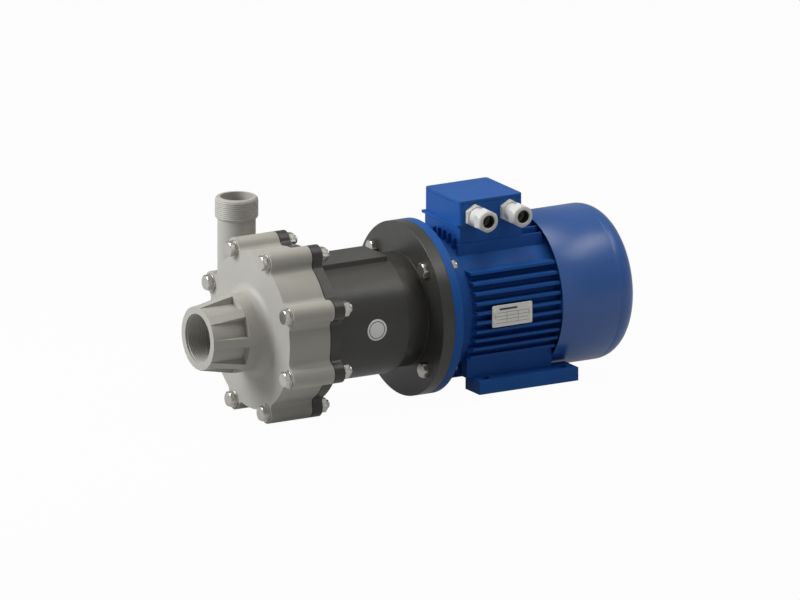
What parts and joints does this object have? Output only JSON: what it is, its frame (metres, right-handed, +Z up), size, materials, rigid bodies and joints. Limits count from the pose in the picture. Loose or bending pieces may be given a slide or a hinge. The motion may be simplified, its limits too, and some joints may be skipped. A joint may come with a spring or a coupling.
{
  "type": "magnetic drive pump",
  "caption": "Close-coupled sealless centrifugal pump with a lobed plastic casing, black bracket and blue finned foot and flange mounted motor.",
  "frame": {"origin": "centre of the motor's foot hole pattern, on the mounting plane under the feet", "axes": "+X along the shaft from the suction mouth to the fan, +Z up"},
  "size_m": [0.526, 0.2006, 0.2363],
  "materials": {
    "casing_plastic": "matte light grey polypropylene",
    "shell_plastic": "matte natural fluoropolymer",
    "black_rubber": "matte black",
    "stainless": "bright stainless steel",
    "ceramic": "ground ivory ceramic",
    "carbon": "dull carbon graphite",
    "magnet_plating": "nickel plated magnet",
    "hub_steel": "machined iron",
    "bearing_steel": "zinc plated or ground steel",
    "bracket_black": "black satin coating on cast iron",
    "label_film": "matte film, no print",
    "motor_blue": "satin gentian blue paint on die cast aluminium",
    "cowl_blue": "satin gentian blue paint on sheet steel",
    "lamination_steel": "stacked electrical steel sheet",
    "copper_wire": "varnished copper wire",
    "cast_aluminium": "cast aluminium",
    "shaft_steel": "ground steel",
    "fan_plastic": "black polyamide",
    "terminal_brass": "plain brass",
    "gland_plastic": "light grey polyamide",
    "plate_aluminium": "satin aluminium plate, no text"
  },
  "bodies": {
    "pump_stand": {"box_gasket": "black_rubber", "box_screws": "bearing_steel", "bracket": "bracket_black", "bracket_label": "label_film", "casing_bolts": "stainless", "casing_gasket": "black_rubber", "casing_nut_washers": "stainless", "casing_nuts": "stainless", "casing_washers": "stainless", "containment_shell": "shell_plastic", "cowl_screws": "bearing_steel", "drive_bearing_outer_ring": "bearing_steel", "drive_end_shield": "motor_blue", "fan_bearing_outer_ring": "bearing_steel", "fan_cowl": "cowl_blue", "fan_end_shield": "motor_blue", "far_foot": "motor_blue", "flange_bolts": "stainless", "flange_nuts": "stainless", "flange_washers": "stainless", "foot_screws": "bearing_steel", "gland_bodies": "gland_plastic", "gland_nuts": "gland_plastic", "gland_seals": "black_rubber", "motor_frame": "motor_blue", "nameplate": "plate_aluminium", "nameplate_rivets": "cast_aluminium", "near_foot": "motor_blue", "pump_spindle": "ceramic", "shaft_seal": "black_rubber", "shell_o_ring": "black_rubber", "stator_core": "lamination_steel", "stator_windings": "copper_wire", "terminal_block": "fan_plastic", "terminal_box": "motor_blue", "terminal_box_lid": "motor_blue", "terminal_studs": "terminal_brass", "thrust_ring": "ceramic", "tie_rods": "bearing_steel", "volute_casing": "casing_plastic", "wave_washer": "bearing_steel", "wear_ring": "ceramic"},
    "drive": {"motor_shaft": "shaft_steel", "rotor_core": "lamination_steel", "rotor_cage": "cast_aluminium", "cooling_fan": "fan_plastic", "outer_magnet_hub": "hub_steel", "drive_magnets": "magnet_plating", "hub_key": "bearing_steel", "hub_set_screw": "bearing_steel", "drive_bearing_inner_ring": "bearing_steel", "fan_bearing_inner_ring": "bearing_steel"},
    "impeller_group": {"impeller": "shell_plastic", "inner_magnet_capsule": "shell_plastic", "capsule_cover": "shell_plastic", "inner_magnets": "magnet_plating", "impeller_bushing": "carbon"},
    "drive_balls": {"drive_bearing_balls": "bearing_steel"},
    "fan_balls": {"fan_bearing_balls": "bearing_steel"}
  },
  "joints": [
    {"name": "shaft_spin", "type": "hinge", "parent": "pump_stand", "child": "drive", "pos_m": [-0.106, 0, 0.09], "axis": [1, 0, 0], "continuous": true},
    {"name": "impeller_spin", "type": "hinge", "parent": "pump_stand", "child": "impeller_group", "pos_m": [-0.106, 0, 0.09], "axis": [1, 0, 0], "continuous": true},
    {"name": "drive_ball_spin", "type": "hinge", "parent": "pump_stand", "child": "drive_balls", "pos_m": [-0.106, 0, 0.09], "axis": [1, 0, 0], "continuous": true},
    {"name": "fan_ball_spin", "type": "hinge", "parent": "pump_stand", "child": "fan_balls", "pos_m": [-0.106, 0, 0.09], "axis": [1, 0, 0], "continuous": true}
  ],
  "couplings": [
    {"joint": "impeller_spin", "follows": "shaft_spin", "ratio": 1},
    {"joint": "drive_ball_spin", "follows": "shaft_spin", "ratio": 0.39688},
    {"joint": "fan_ball_spin", "follows": "shaft_spin", "ratio": 0.39688}
  ]
}
